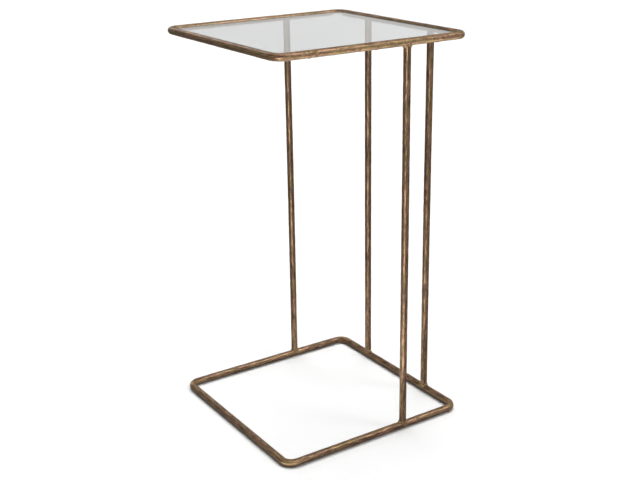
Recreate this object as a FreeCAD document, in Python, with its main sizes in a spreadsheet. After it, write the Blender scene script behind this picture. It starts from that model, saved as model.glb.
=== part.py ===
"""C-shaped accent table: two loops of round rod, four upright rods and a loose glass pane.

Millimetres. +Z is up, the origin is on the floor under the middle of the table, and the open
side, where the base slides under a seat, faces -Y.
"""
import FreeCAD
import Part
import Sketcher

import math
import os

from FreeCAD import Placement, Rotation, Vector

DRIVING_SIZES = (
    ("overall_height", 660.0, "floor to the top of the rim"),
    ("rail_span_x", 344.0, "side rail to side rail, on the rods' centre-lines"),
    ("rail_span_y", 344.0, "front rail to back rail, on the rods' centre-lines"),
    ("rod_diameter", 12.0, "the one rod that loops and uprights are made of"),
    ("bend_radius", 18.0, "corner bends of both loops, on the rod's centre-line"),
    ("side_leg_setback", 115.0, "side uprights, forward of the back rail's centre-line"),
    ("back_leg_spacing", 172.0, "between the two uprights on the back rail"),
    ("horn_trim", 2.0, "the saddle cut's sharp horns end this far above the rail's axis"),
    ("weld_height", 5.0, "a weld climbs this far up the upright from the rail"),
    ("weld_reach", 5.5, "a weld spreads this far along the rail from the upright"),
    ("weld_crown", 0.9, "a weld stands this proud of the rods' sides"),
    ("ledge_width", 12.0, "flat bar that carries the glass, across"),
    ("ledge_thickness", 3.0, "flat bar that carries the glass, its thickness"),
    ("notch_clearance", 0.3, "between a weld and the notch that the ledge has for it"),
    ("tack_length", 10.0, "tack weld under a ledge, along the rail"),
    ("tack_width", 3.5, "tack weld, from the ledge out under the rod"),
    ("tack_height", 2.5, "tack weld, from the rim's underside up"),
    ("bumper_diameter", 8.0, "clear disc between ledge and glass"),
    ("bumper_thickness", 1.0, "clear disc between ledge and glass"),
    ("bumper_setback", 24.0, "clear disc's centre, from the end of its ledge"),
    ("glass_thickness", 5.0, "pane"),
    ("glass_clearance", 1.0, "between the pane's edge and the rim's nearest side"),
    ("glass_edge_ease", 0.6, "chamfer on the pane's top and bottom edges"),
    ("glide_diameter", 9.0, "clear pad under the base loop"),
    ("glide_height", 2.0, "pad, from the floor to the rim of its saddle"),
    ("glide_floor_gap", 1.0, "pad's thickness under the lowest line of the rod"),
    ("glide_setback", 10.0, "pad's centre, from the end of a corner bend"),
)

# Places along a ledge of its tack welds, as shares of the ledge's length from its middle.
TACK_PLACE_SHARES = (-0.38, 0.0, 0.38)

# A weld's outline above the rail, from the rail's top up: shares of the weld's height, of its
# reach along the rail and of its crown across the rail.
WELD_SECTION_SHARES = (
    (0.0, 1.0, 1.0),
    (0.4, 0.36, 0.6),
    (1.0, 0.06, 0.12),
)
# The foot of that outline, beside the rail, reaches a little further.
WELD_FOOT_REACH_SHARE = 1.2

QUARTER_TURN = 90
HALF_TURN = 180
UP = Vector(0, 0, 1)

doc = FreeCAD.newDocument("accent_table")


# Driving dimensions in a spreadsheet

sheet = doc.addObject("Spreadsheet::Sheet", "sizes")
for row, (alias, number, meaning) in enumerate(DRIVING_SIZES, start=1):
    sheet.set(f"A{row}", alias)
    sheet.set(f"B{row}", str(number))
    sheet.set(f"C{row}", meaning)
    sheet.setAlias(f"B{row}", alias)
doc.recompute()

# Sizes that follow from the driving ones, as expressions
ROD_RADIUS = "(sizes.rod_diameter / 2)"
BASE_AXIS = f"(sizes.glide_floor_gap + {ROD_RADIUS})"
RIM_AXIS = f"(sizes.overall_height - {ROD_RADIUS})"
RIM_UNDERSIDE = "(sizes.overall_height - sizes.rod_diameter)"
LEG_SPAN = f"({RIM_AXIS} - {BASE_AXIS})"
HALF_X = "(sizes.rail_span_x / 2)"
HALF_Y = "(sizes.rail_span_y / 2)"
SIDE_LEG_Y = f"({HALF_Y} - sizes.side_leg_setback)"
BACK_LEG_X = "(sizes.back_leg_spacing / 2)"
# The ledge lies flush with the rim's underside and its top outer edge touches the round rod.
LEDGE_OFFSET = "sqrt(sizes.ledge_thickness * (sizes.rod_diameter - sizes.ledge_thickness))"
LEDGE_EDGE_X = f"({HALF_X} - {LEDGE_OFFSET})"
LEDGE_EDGE_Y = f"({HALF_Y} - {LEDGE_OFFSET})"
LEDGE_LENGTH_X = "(sizes.rail_span_x - 2 * sizes.bend_radius)"
LEDGE_LENGTH_Y = "(sizes.rail_span_y - 2 * sizes.bend_radius)"
LEDGE_TOP = f"({RIM_UNDERSIDE} + sizes.ledge_thickness)"
WELD_HALF_LENGTH = f"({ROD_RADIUS} + {WELD_FOOT_REACH_SHARE} * sizes.weld_reach)"
NOTCH_LENGTH = f"(2 * ({WELD_HALF_LENGTH} + sizes.notch_clearance))"
NOTCH_DEPTH = f"({ROD_RADIUS} + sizes.weld_crown + sizes.notch_clearance - {LEDGE_OFFSET})"
GLASS_BOTTOM = f"({LEDGE_TOP} + sizes.bumper_thickness)"
GLASS_WIDTH = "(sizes.rail_span_x - sizes.rod_diameter - 2 * sizes.glass_clearance)"
GLASS_DEPTH = "(sizes.rail_span_y - sizes.rod_diameter - 2 * sizes.glass_clearance)"
GLASS_CORNER = f"(sizes.bend_radius - {ROD_RADIUS} - sizes.glass_clearance)"


def value(expression):
    """The present value of an expression of the sheet's sizes."""
    return float(sheet.evalExpression(expression))


def bind(item, **expressions):
    """Bind an object's properties to expressions. A double underscore stands for a dot."""
    for name, expression in expressions.items():
        item.setExpression(name.replace("__", "."), expression)


def put(item, turn=0, x="0", y="0", z="0"):
    """Turn an object about the vertical and bind its place to the sheet."""
    item.Placement = Placement(Vector(), Rotation(UP, turn))
    bind(item, Placement__Base__x=x, Placement__Base__y=y, Placement__Base__z=z)


# Sketches on a body's own planes

def sketch_on(body, role, name):
    """A sketch on one of the body's own origin planes."""
    sketch = body.newObject("Sketcher::SketchObject", name)
    plane = next(part for part in body.Origin.OriginFeatures if part.Role == role)
    sketch.AttachmentSupport = [(plane, "")]
    sketch.MapMode = "FlatFace"
    return sketch


def dimension(sketch, name, expression, kind, *where):
    """A named dimension of a sketch, bound to the sheet."""
    index = sketch.addConstraint(Sketcher.Constraint(kind, *where, value(expression)))
    sketch.renameConstraint(index, name)
    sketch.setExpression(f"Constraints.{name}", expression)


def draw_rounded_rectangle(sketch, width, depth, radius):
    """A rectangle about the origin with round corners."""
    half_width = value(width) / 2
    half_depth = value(depth) / 2
    corner = value(radius)
    inner_x = half_width - corner
    inner_y = half_depth - corner
    signs = ((1, -1), (1, 1), (-1, 1), (-1, -1))
    for index, (sign_x, sign_y) in enumerate(signs):
        start_angle = math.radians(QUARTER_TURN * (index - 1))
        end_angle = math.radians(QUARTER_TURN * index)
        circle = Part.Circle(Vector(sign_x * inner_x, sign_y * inner_y, 0), UP, corner)
        sketch.addGeometry(Part.ArcOfCircle(circle, start_angle, end_angle), False)
    corners = [arc.toShape() for arc in sketch.Geometry]
    for index, arc in enumerate(corners):
        following = corners[(index + 1) % len(corners)]
        start = arc.valueAt(arc.LastParameter)
        end = following.valueAt(following.FirstParameter)
        sketch.addGeometry(Part.LineSegment(start, end), False)
    for index in range(len(corners)):
        line = len(corners) + index
        following = (index + 1) % len(corners)
        sketch.addConstraint(Sketcher.Constraint("Tangent", index, 2, line, 1))
        sketch.addConstraint(Sketcher.Constraint("Tangent", line, 2, following, 1))
        direction = "Vertical" if index % 2 == 0 else "Horizontal"
        sketch.addConstraint(Sketcher.Constraint(direction, line))
        if following:
            sketch.addConstraint(Sketcher.Constraint("Equal", index, following))
    sketch.addConstraint(Sketcher.Constraint("Symmetric", 0, 3, 2, 3, -1, 1))
    dimension(sketch, "corner", radius, "Radius", 0)
    dimension(sketch, "width", width, "DistanceX", 6, 1, 4, 1)
    dimension(sketch, "depth", depth, "DistanceY", 7, 1, 5, 1)


# Loops and uprights of round rod

def make_loop(name, height):
    """One rod bent to a square loop with round corners, lying level at the given height."""
    body = doc.addObject("PartDesign::Body", name)
    path = sketch_on(body, "XY_Plane", name + "_path")
    draw_rounded_rectangle(path, "sizes.rail_span_x", "sizes.rail_span_y", "sizes.bend_radius")
    section = sketch_on(body, "YZ_Plane", name + "_section")
    centre = Vector(-value(HALF_Y), 0, 0)
    section.addGeometry(Part.Circle(centre, UP, value(ROD_RADIUS)), False)
    section.addConstraint(Sketcher.Constraint("PointOnObject", 0, 3, -1))
    dimension(section, "front_rail", HALF_Y, "DistanceX", 0, 3, -1, 1)
    dimension(section, "rod", ROD_RADIUS, "Radius", 0)
    rod = body.newObject("PartDesign::AdditivePipe", name + "_rod")
    rod.Profile = section
    rod.Spine = (path, [])
    put(body, z=height)
    return body


def make_leg(name, x, y, turn):
    """An upright rod, saddle-cut at both ends to the rails that it stands between.

    Its own origin is on the base rail's axis, and the rails run along its own X.
    """
    body = doc.addObject("PartDesign::Body", name)
    section = sketch_on(body, "XY_Plane", name + "_section")
    section.addGeometry(Part.Circle(Vector(), UP, value(ROD_RADIUS)), False)
    section.addConstraint(Sketcher.Constraint("Coincident", 0, 3, -1, 1))
    dimension(section, "rod", ROD_RADIUS, "Radius", 0)
    bind(section, AttachmentOffset__Base__z="sizes.horn_trim")
    rod = body.newObject("PartDesign::Pad", name + "_rod")
    rod.Profile = section
    bind(rod, Length=f"{LEG_SPAN} - 2 * sizes.horn_trim")
    saddles = sketch_on(body, "YZ_Plane", name + "_saddles")
    for index, height in enumerate(("0", LEG_SPAN)):
        centre = Vector(0, value(height), 0)
        saddles.addGeometry(Part.Circle(centre, UP, value(ROD_RADIUS)), False)
        dimension(saddles, f"rail_{index}", ROD_RADIUS, "Radius", index)
    saddles.addConstraint(Sketcher.Constraint("Coincident", 0, 3, -1, 1))
    saddles.addConstraint(Sketcher.Constraint("PointOnObject", 1, 3, -2))
    dimension(saddles, "span", LEG_SPAN, "DistanceY", 0, 3, 1, 3)
    cut = body.newObject("PartDesign::Pocket", name + "_cut")
    cut.Profile = saddles
    cut.Type = "ThroughAll"
    cut.SideType = "Symmetric"
    put(body, turn, x, y, BASE_AXIS)
    return body


# Welds

def make_weld_blank(name, x, y, turn, at_rim):
    """A flare about an upright's end: a loft through ellipses, longest along the rail."""
    levels = [("sizes.horn_trim", f"{WELD_FOOT_REACH_SHARE}", "1")]
    for height_share, reach_share, crown_share in WELD_SECTION_SHARES:
        level = f"{ROD_RADIUS} + {height_share} * sizes.weld_height"
        levels.append((level, f"{reach_share}", f"{crown_share}"))
    sections = []
    for index, (level, reach, crown) in enumerate(levels):
        ellipse = doc.addObject("Part::Ellipse", f"{name}_section_{index}")
        bind(ellipse, MajorRadius=f"{ROD_RADIUS} + {reach} * sizes.weld_reach",
             MinorRadius=f"{ROD_RADIUS} + {crown} * sizes.weld_crown",
             Placement__Base__z=level)
        sections.append(ellipse)
    flare = doc.addObject("Part::Loft", name)
    flare.Sections = sections
    flare.Solid = True
    put(flare, turn, x, y, RIM_AXIS if at_rim else BASE_AXIS)
    if at_rim:
        upside_down = Rotation(Vector(1, 0, 0), HALF_TURN)
        flare.Placement.Rotation = flare.Placement.Rotation.multiply(upside_down)
    return flare


def make_group(name, blanks, neighbours):
    """Like pieces as one node of separate solids, cut to fit the pieces that they touch."""
    blank_group = doc.addObject("Part::Compound", name + "_blanks")
    blank_group.Links = blanks
    neighbour_group = doc.addObject("Part::Compound", name + "_neighbours")
    neighbour_group.Links = neighbours
    group = doc.addObject("Part::Cut", name)
    group.Base = blank_group
    group.Tool = neighbour_group
    return group


# Ledges, tack welds, bumpers and glass

def make_ledge(name, length, turn, x, y, weld_places):
    """Flat bar with mitred ends. Its outer edge runs along its own X, its width along +Y.

    The outer edge is notched at each upright's weld, whose places are along that edge.
    """
    body = doc.addObject("PartDesign::Body", name)
    outline = sketch_on(body, "XY_Plane", name + "_outline")
    half = value(length) / 2
    width = value("sizes.ledge_width")
    inner_half = half - width
    points = (Vector(-half, 0, 0), Vector(half, 0, 0),
              Vector(inner_half, width, 0), Vector(-inner_half, width, 0))
    for index, start in enumerate(points):
        end = points[(index + 1) % len(points)]
        outline.addGeometry(Part.LineSegment(start, end), False)
    for index in range(len(points)):
        following = (index + 1) % len(points)
        outline.addConstraint(Sketcher.Constraint("Coincident", index, 2, following, 1))
    outline.addConstraint(Sketcher.Constraint("Symmetric", 0, 1, 0, 2, -1, 1))
    outline.addConstraint(Sketcher.Constraint("Symmetric", 2, 1, 2, 2, -2))
    outline.addConstraint(Sketcher.Constraint("Horizontal", 0))
    dimension(outline, "length", length, "DistanceX", 0, 1, 0, 2)
    dimension(outline, "inner_length", f"{length} - 2 * sizes.ledge_width",
              "DistanceX", 2, 2, 2, 1)
    dimension(outline, "across", "sizes.ledge_width", "DistanceY", 0, 2, 2, 1)
    bar = body.newObject("PartDesign::Pad", name + "_bar")
    bar.Profile = outline
    bind(bar, Length="sizes.ledge_thickness")
    for index, place in enumerate(weld_places):
        notch = body.newObject("PartDesign::SubtractiveBox", f"{name}_notch_{index}")
        bind(notch, Length=NOTCH_LENGTH, Width=NOTCH_DEPTH, Height="sizes.ledge_thickness",
             Placement__Base__x=f"{place} - {NOTCH_LENGTH} / 2")
    put(body, turn, x, y, RIM_UNDERSIDE)
    return body


def make_tack_blanks(name, length, turn, x, y):
    """Blocks under the rod, against a ledge's outer edge, to be cut to the rod's shape."""
    blocks = []
    for index, share in enumerate(TACK_PLACE_SHARES):
        block = doc.addObject("Part::Box", f"{name}_{index}")
        bind(block, Length="sizes.tack_length", Width="sizes.tack_width",
             Height="sizes.tack_height",
             Placement__Base__x=f"{share} * {length} - sizes.tack_length / 2",
             Placement__Base__y="-sizes.tack_width")
        blocks.append(block)
    row = doc.addObject("Part::Compound", name)
    row.Links = blocks
    put(row, turn, x, y, RIM_UNDERSIDE)
    return row


def make_glass():
    """Loose pane with round corners and eased edges."""
    body = doc.addObject("PartDesign::Body", "glass_top")
    outline = sketch_on(body, "XY_Plane", "glass_outline")
    draw_rounded_rectangle(outline, GLASS_WIDTH, GLASS_DEPTH, GLASS_CORNER)
    pane = body.newObject("PartDesign::Pad", "glass_pane")
    pane.Profile = outline
    bind(pane, Length="sizes.glass_thickness")
    put(body, z=GLASS_BOTTOM)
    doc.recompute()
    flat_faces = []
    for index, face in enumerate(pane.Shape.Faces, start=1):
        if abs(face.normalAt(0, 0).dot(UP)) > math.cos(math.pi / 4):
            flat_faces.append(f"Face{index}")
    ease = body.newObject("PartDesign::Chamfer", "glass_ease")
    ease.Base = (pane, flat_faces)
    bind(ease, Size="sizes.glass_edge_ease")
    return body


def make_disc(name, diameter, height, x, y, z):
    """A level round disc, standing on the given height."""
    disc = doc.addObject("Part::Cylinder", name)
    bind(disc, Radius=f"{diameter} / 2", Height=height)
    put(disc, 0, x, y, z)
    return disc


# The table, piece by piece

SIDES = (("left", -1), ("right", 1))

base_ring = make_loop("base_ring", BASE_AXIS)
top_rim = make_loop("top_rim", RIM_AXIS)

leg_places = {}
for side, sign in SIDES:
    leg_places["side_leg_" + side] = (f"{sign} * {HALF_X}", SIDE_LEG_Y, QUARTER_TURN)
for side, sign in SIDES:
    leg_places["back_leg_" + side] = (f"{sign} * {BACK_LEG_X}", HALF_Y, 0)
legs = [make_leg(name, x, y, turn) for name, (x, y, turn) in leg_places.items()]

weld_groups = []
for group_name, loop, at_rim in (("leg_foot_welds", base_ring, False),
                                 ("leg_top_welds", top_rim, True)):
    flares = [make_weld_blank(f"{group_name}_{name}", x, y, turn, at_rim)
              for name, (x, y, turn) in leg_places.items()]
    weld_groups.append(make_group(group_name, flares, [loop, *legs]))

ledges = []
tack_rows = []
LEDGE_PLACES = (
    ("front", LEDGE_LENGTH_X, "0", "-" + LEDGE_EDGE_Y, ()),
    ("right", LEDGE_LENGTH_Y, LEDGE_EDGE_X, "0", (SIDE_LEG_Y,)),
    ("back", LEDGE_LENGTH_X, "0", LEDGE_EDGE_Y, ("-" + BACK_LEG_X, BACK_LEG_X)),
    ("left", LEDGE_LENGTH_Y, "-" + LEDGE_EDGE_X, "0", ("-" + SIDE_LEG_Y,)),
)
for index, (side, length, x, y, weld_places) in enumerate(LEDGE_PLACES):
    turn = QUARTER_TURN * index
    ledges.append(make_ledge("ledge_" + side, length, turn, x, y, weld_places))
    tack_rows.append(make_tack_blanks("tack_row_" + side, length, turn, x, y))
tacks = make_group("ledge_tack_welds", tack_rows, [top_rim, weld_groups[-1]])

bumper_x = f"({LEDGE_LENGTH_X} / 2 - sizes.bumper_setback)"
bumper_y = f"({LEDGE_EDGE_Y} - sizes.ledge_width / 2)"
glide_y = f"({HALF_Y} - sizes.bend_radius - sizes.glide_setback)"
bumper_discs = []
glide_discs = []
for end, sign_y in (("front", -1), ("back", 1)):
    for side, sign_x in SIDES:
        bumper_discs.append(make_disc(
            f"bumper_{end}_{side}", "sizes.bumper_diameter", "sizes.bumper_thickness",
            f"{sign_x} * {bumper_x}", f"{sign_y} * {bumper_y}", LEDGE_TOP))
        glide_discs.append(make_disc(
            f"glide_{end}_{side}", "sizes.glide_diameter", "sizes.glide_height",
            f"{sign_x} * {HALF_X}", f"{sign_y} * {glide_y}", "0"))
bumpers = doc.addObject("Part::Compound", "glass_bumpers")
bumpers.Links = bumper_discs
glides = make_group("floor_glides", glide_discs, [base_ring])

glass = make_glass()

nodes = [base_ring, top_rim, *legs, *weld_groups, *ledges, tacks, bumpers, glass, glides]


# Check every object, then write each piece

doc.recompute()
for item in doc.Objects:
    if "Invalid" in item.State or "Error" in item.State:
        raise RuntimeError(f"{item.Label} failed: {item.State}")
for node in nodes:
    if node.Shape.isNull() or not node.Shape.isValid():
        raise RuntimeError(f"{node.Label} has no valid shape")

os.makedirs("parts", exist_ok=True)
for node in nodes:
    node.Shape.exportStep(f"parts/{node.Label}.step")
    box = node.Shape.BoundBox
    print(node.Label, len(node.Shape.Solids), "solids", round(node.Shape.Volume, 1), "mm3,",
          "x", round(box.XMin, 2), round(box.XMax, 2), "y", round(box.YMin, 2),
          round(box.YMax, 2), "z", round(box.ZMin, 2), round(box.ZMax, 2))
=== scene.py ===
# %% [markdown]
# # A pull-up accent table in round rod and glass
# The real table is two square loops of round rod joined by four uprights, with a loose pane
# of glass in the upper loop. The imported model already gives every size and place. This script
# gives the looks: rods worked by hand, weld beads, an antique brass patina and tinted glass.
# New pieces are surfaces worked out with numpy, so every ripple in them is a formula that can
# be changed and run again.

# %% Load the fixed frame
import math

import bmesh
import bpy
import numpy as np
from mathutils import Matrix, Vector


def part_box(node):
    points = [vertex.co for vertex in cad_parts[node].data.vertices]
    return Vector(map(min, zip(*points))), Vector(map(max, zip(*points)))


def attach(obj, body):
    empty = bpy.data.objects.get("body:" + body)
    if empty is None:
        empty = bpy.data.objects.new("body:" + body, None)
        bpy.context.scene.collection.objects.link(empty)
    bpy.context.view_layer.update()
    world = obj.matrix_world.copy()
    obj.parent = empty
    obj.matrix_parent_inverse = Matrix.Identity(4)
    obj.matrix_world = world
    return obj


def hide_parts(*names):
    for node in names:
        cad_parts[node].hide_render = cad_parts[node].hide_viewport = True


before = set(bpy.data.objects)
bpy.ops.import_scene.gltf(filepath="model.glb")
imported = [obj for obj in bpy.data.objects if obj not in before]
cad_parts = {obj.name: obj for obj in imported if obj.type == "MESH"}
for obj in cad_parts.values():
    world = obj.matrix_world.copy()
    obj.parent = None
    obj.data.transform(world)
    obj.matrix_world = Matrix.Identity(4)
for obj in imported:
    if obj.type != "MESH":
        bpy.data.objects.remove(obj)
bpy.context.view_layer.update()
MM = 0.001
FULL_TURN = 2 * math.pi
QUARTER_TURN = math.pi / 2

# %% [markdown]
# ## Sizes read from the frame
# Nothing is measured twice. The rod's radius is half the rim's height, the rails' centre-lines
# lie one radius inside the rim's outer edges, and the corner bends begin where the straight
# ledges under the glass end.

# %% Sizes from the frame
rim_low, rim_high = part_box("top_rim")
base_low, base_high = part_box("base_ring")
rod_radius = (rim_high.z - rim_low.z) / 2
half_x = rim_high.x - rod_radius
half_y = rim_high.y - rod_radius
rim_axis = (rim_high.z + rim_low.z) / 2
base_axis = (base_high.z + base_low.z) / 2
bend_radius = half_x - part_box("ledge_front")[1].x
print("rod radius", round(rod_radius / MM, 3), "mm, bend radius", round(bend_radius / MM, 3), "mm")

# %% [markdown]
# ## From a grid of points to a mesh
# Each cell between four neighbouring points of a grid becomes one face. The columns always
# wrap round, as on a tube. The rows wrap too for a loop, and an open end is closed by a pole:
# one point in which the last row of cells meets. Whether the faces look outwards is read from
# the signed volume, the sum of the small pyramids between the faces and the origin. If it is
# negative, the surface is inside out and every face is turned over.

# %% Grid to mesh
def grid_faces(rows, columns, wrap_rows):
    """Faces between neighbouring rows of a grid whose columns wrap round."""
    row_starts = np.arange(rows if wrap_rows else rows - 1) * columns
    around = np.arange(columns)
    here = row_starts[:, None] + around[None, :]
    beside = row_starts[:, None] + ((around + 1) % columns)[None, :]
    total = rows * columns
    faces = np.stack([here, beside, (beside + columns) % total, (here + columns) % total], axis=-1)
    return faces.reshape(-1, 4).tolist()


def signed_volume(points, faces):
    """Sum of a . (b x c) / 6 over the triangles that fan each face from its first corner."""
    total = 0.0
    for size in sorted({len(face) for face in faces}):
        corners = points[np.array([face for face in faces if len(face) == size])]
        for index in range(1, size - 1):
            crossed = np.cross(corners[:, index], corners[:, index + 1])
            total += float((corners[:, 0] * crossed).sum()) / 6
    return total


def closed_surface(grid, wrap_rows=False):
    """Points and faces of grid[row, column, xyz]; rows that don't wrap end in two poles."""
    rows, columns = grid.shape[:2]
    points = grid.reshape(-1, 3)
    faces = grid_faces(rows, columns, wrap_rows)
    if not wrap_rows:
        pole = len(points)
        points = np.vstack([points, grid[0].mean(axis=0), grid[-1].mean(axis=0)])
        around = np.arange(columns)
        beside = (around + 1) % columns
        last = (rows - 1) * columns
        first_cap = np.stack([np.full(columns, pole), beside, around], axis=-1)
        last_cap = np.stack([last + around, last + beside, np.full(columns, pole + 1)], axis=-1)
        faces += first_cap.tolist() + last_cap.tolist()
    if signed_volume(points, faces) < 0:
        faces = [face[::-1] for face in faces]
    return points, faces

# %% [markdown]
# ## From a mesh to a piece of the table
# A piece is a mesh at its real place, with its object at the origin. It rides on a body of
# the frame, and the imported nodes that it stands for are hidden.

# %% Mesh to piece
def join_surfaces(surfaces):
    """Several closed surfaces as one list of points and one of faces."""
    points = np.vstack([surface[0] for surface in surfaces])
    starts = np.cumsum([0] + [len(surface[0]) for surface in surfaces[:-1]])
    faces = [[corner + int(start) for corner in face]
             for surface, start in zip(surfaces, starts) for face in surface[1]]
    return points, faces


def add_piece(name, surfaces, body, replaced, sharp_degrees=180):
    """One smooth object from closed surfaces, sharp only where faces turn by more."""
    points, faces = join_surfaces(surfaces)
    mesh = bpy.data.meshes.new(name)
    mesh.from_pydata(points.tolist(), [], faces)
    mesh.polygons.foreach_set("use_smooth", np.ones(len(faces), dtype=bool))
    mesh.set_sharp_from_angle(angle=math.radians(sharp_degrees))
    piece = bpy.data.objects.new(name, mesh)
    bpy.context.scene.collection.objects.link(piece)
    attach(piece, body)
    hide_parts(*replaced)
    print(name, len(points), "points", len(faces), "faces")
    return piece

# %% [markdown]
# ## Coordinates that follow the metal
# A patina runs along a rod, round its bends too. World coordinates can't do that, so each
# metal piece keeps two attributes of its own: where a point would be if its rod were pulled
# straight along Z, and how much hands and feet have rubbed the brown away there. On the rim's
# two side rails the second one also carries painted light, which makes them lighter. A loop that
# is pulled straight has two ends, so the faces that close it must reach its full length and
# not run back to nought. That is why the place is kept on the corners of faces.

# %% Attributes for the finish
def keep_finish_data(piece, straightened, wear, closing_faces=0, length=0.0):
    """Store the straightened place and the wear; the closing faces of a loop end at its length."""
    mesh = piece.data
    corner_point = np.zeros(len(mesh.loops), dtype=int)
    mesh.loops.foreach_get("vertex_index", corner_point)
    corner_place = np.asarray(straightened, dtype=np.float32).reshape(-1, 3)[corner_point]
    if closing_faces:
        closing_corners = 4 * closing_faces
        closing = np.arange(len(corner_point)) >= len(corner_point) - closing_corners
        corner_place[closing & (corner_point < closing_faces), 2] += length
    place = mesh.attributes.new("rod_space", "FLOAT_VECTOR", "CORNER")
    place.data.foreach_set("vector", corner_place.ravel())
    rubbed = mesh.attributes.new("wear", "FLOAT", "POINT")
    rubbed.data.foreach_set("value", np.asarray(wear, dtype=np.float32).ravel())


def straighten(radius, angle, distance, start):
    """The point at r cos, r sin across the rod and at its distance along it."""
    across = radius * np.cos(angle)
    upward = radius * np.sin(angle)
    return np.stack(np.broadcast_arrays(across, upward, distance + start), axis=-1)


def fade(distance, reach):
    """1 at no distance, falling in a smooth bell to nearly 0 at the reach."""
    return np.exp(-(2 * distance / reach) ** 2)

# %% [markdown]
# ## Round rod that was worked by hand
# The rods are round bar, bent, welded and then straightened with a hammer. A swept circle is
# too perfect: the highlight on it is a ruled line. Here the circle's radius is taken in by a
# smooth random depth, a sum of sine waves that run along and around the rod. Each wave fits a
# whole number of times, so a closed loop meets itself without a seam.

# %% Dents
DENT_DEPTH = 0.13 * MM
DENT_WAVES = 48
SHORTEST_WAVE = 24 * MM
# A wave fits at least twice along the rod, and less than four times around it.
LEAST_ALONG = 2
AROUND_LIMIT = 4


def dents(distance, angle, length, seed):
    """Depth below the full radius: the waves' sum, squeezed between 0 and the dent depth."""
    draws = np.random.default_rng(seed)
    total = np.zeros(np.broadcast_shapes(distance.shape, angle.shape))
    for _ in range(DENT_WAVES):
        along = draws.integers(LEAST_ALONG, int(length / SHORTEST_WAVE))
        around = draws.integers(0, AROUND_LIMIT)
        phase = draws.uniform(0, FULL_TURN)
        total += np.sin(FULL_TURN * along * distance / length + around * angle + phase)
    total /= math.sqrt(DENT_WAVES / 2)
    return DENT_DEPTH * (0.5 + 0.5 * np.tanh(total))

# %% [markdown]
# ## The two loops
# A bent loop is an inner rectangle with an arm of the bend's radius: the arm's foot walks
# along the sides and stands still at each corner while the arm swings a quarter turn. The
# arm always points to the loop's outer side, which is all that is needed to place the rod's
# circle: r cos(angle) along the arm and r sin(angle) upwards. The rod's two ends were butted
# and welded in the middle of the back rail, so that is where the track begins and ends.

# %% Track of a loop
ROD_COLUMNS = 40
RING_SPACING = 2.5 * MM
BEND_RINGS = 14


def loop_track():
    """Centre, outward arm and distance of each ring, and the whole length of the track."""
    inner = np.array([half_x - bend_radius, half_y - bend_radius])
    corners = np.array([[1, 1], [-1, 1], [-1, -1], [1, -1]]) * inner
    feet, turns = [], []
    for index, corner in enumerate(corners):
        feet.append(np.repeat(corner[None, :], BEND_RINGS, axis=0))
        turns.append(QUARTER_TURN * (index + np.arange(BEND_RINGS) / BEND_RINGS))
        following = corners[(index + 1) % 4]
        rail_rings = round(np.linalg.norm(following - corner) / RING_SPACING)
        share = (np.arange(rail_rings) / rail_rings)[:, None]
        feet.append(corner * (1 - share) + following * share)
        turns.append(np.full(rail_rings, QUARTER_TURN * (index + 1)))
    first = len(feet[0]) + len(feet[1]) // 2
    turn = np.roll(np.concatenate(turns), -first)
    arm = np.stack([np.cos(turn), np.sin(turn)], axis=-1)
    centre = np.roll(np.concatenate(feet), -first, axis=0) + bend_radius * arm
    steps = np.linalg.norm(np.roll(centre, -1, axis=0) - centre, axis=1)
    return centre, arm, np.cumsum(steps) - steps, steps.sum()


print("rod in each loop", round(loop_track()[-1] / MM, 1), "mm")

# %% [markdown]
# The bends stand out and are handled most, so the wear is highest there. It fades with the
# distance from the nearest corner of the square. The rim's two side rails, which run from front
# to back, are made lighter too, as painted light: it stands in for the light from the right that
# falls on them. The butt weld was filed flush and stained again, and shows only as a slightly
# brighter ring.

# %% Loops
WEAR_REACH = 45 * MM
BUTT_REACH = 7 * MM
BUTT_WEAR = 0.8
# Painted light: how much lighter the rim's side rails are made, standing in for light from the
# right.
RIM_SIDE_PAINTED_LIGHT = 0.95
# Each rod takes its patina from a stretch of its own, which starts at this many metres.
RIM_START = 0.0
BASE_START = 2.6


def make_loop(name, node, height, seed, start, side_painted_light):
    """A ring of the rod's dented radius at every point of the track."""
    centre, arm, distance, length = loop_track()
    angle = (FULL_TURN * np.arange(ROD_COLUMNS) / ROD_COLUMNS)[None, :]
    radius = rod_radius - dents(distance[:, None], angle, length, seed)
    level = centre[:, None, :] + (radius * np.cos(angle))[..., None] * arm[:, None, :]
    upright = height + radius * np.sin(angle)
    grid = np.concatenate([level, upright[..., None]], axis=-1)
    surface = closed_surface(grid, wrap_rows=True)
    piece = add_piece(name, [surface], "frame", [node])
    corner_gap = np.hypot(half_x - np.abs(centre[:, 0]), half_y - np.abs(centre[:, 1]))
    butt_gap = np.minimum(distance, length - distance)
    ring_wear_and_side_light = np.maximum(fade(corner_gap, WEAR_REACH), BUTT_WEAR * fade(butt_gap, BUTT_REACH))
    # Painted light: the rails that run front to back, where the arm points along X, are made
    # lighter.
    ring_wear_and_side_light = np.maximum(ring_wear_and_side_light, side_painted_light * arm[:, 0] ** 2)
    wear = np.broadcast_to(ring_wear_and_side_light[:, None], radius.shape)
    place = straighten(radius, angle, distance[:, None], start)
    keep_finish_data(piece, place, wear, ROD_COLUMNS, length)
    return piece


rim_rod = make_loop("rim_rod", "top_rim", rim_axis, seed=3, start=RIM_START,
                    side_painted_light=RIM_SIDE_PAINTED_LIGHT)
base_rod = make_loop("base_rod", "base_ring", base_axis, seed=4, start=BASE_START,
                     side_painted_light=0.0)

# %% [markdown]
# ## The uprights
# Each end of an upright is cut to a saddle that sits on the round rail: at a distance y across
# the rail, the rail's surface is sqrt(r^2 - y^2) above its axis, and the thin horns of the
# saddle are trimmed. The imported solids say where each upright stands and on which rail.

# %% Where the uprights stand
LEG_NODES = ("side_leg_left", "side_leg_right", "back_leg_left", "back_leg_right")
horn_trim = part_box("side_leg_left")[0].z - base_axis
rod_span = rim_axis - base_axis


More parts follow.
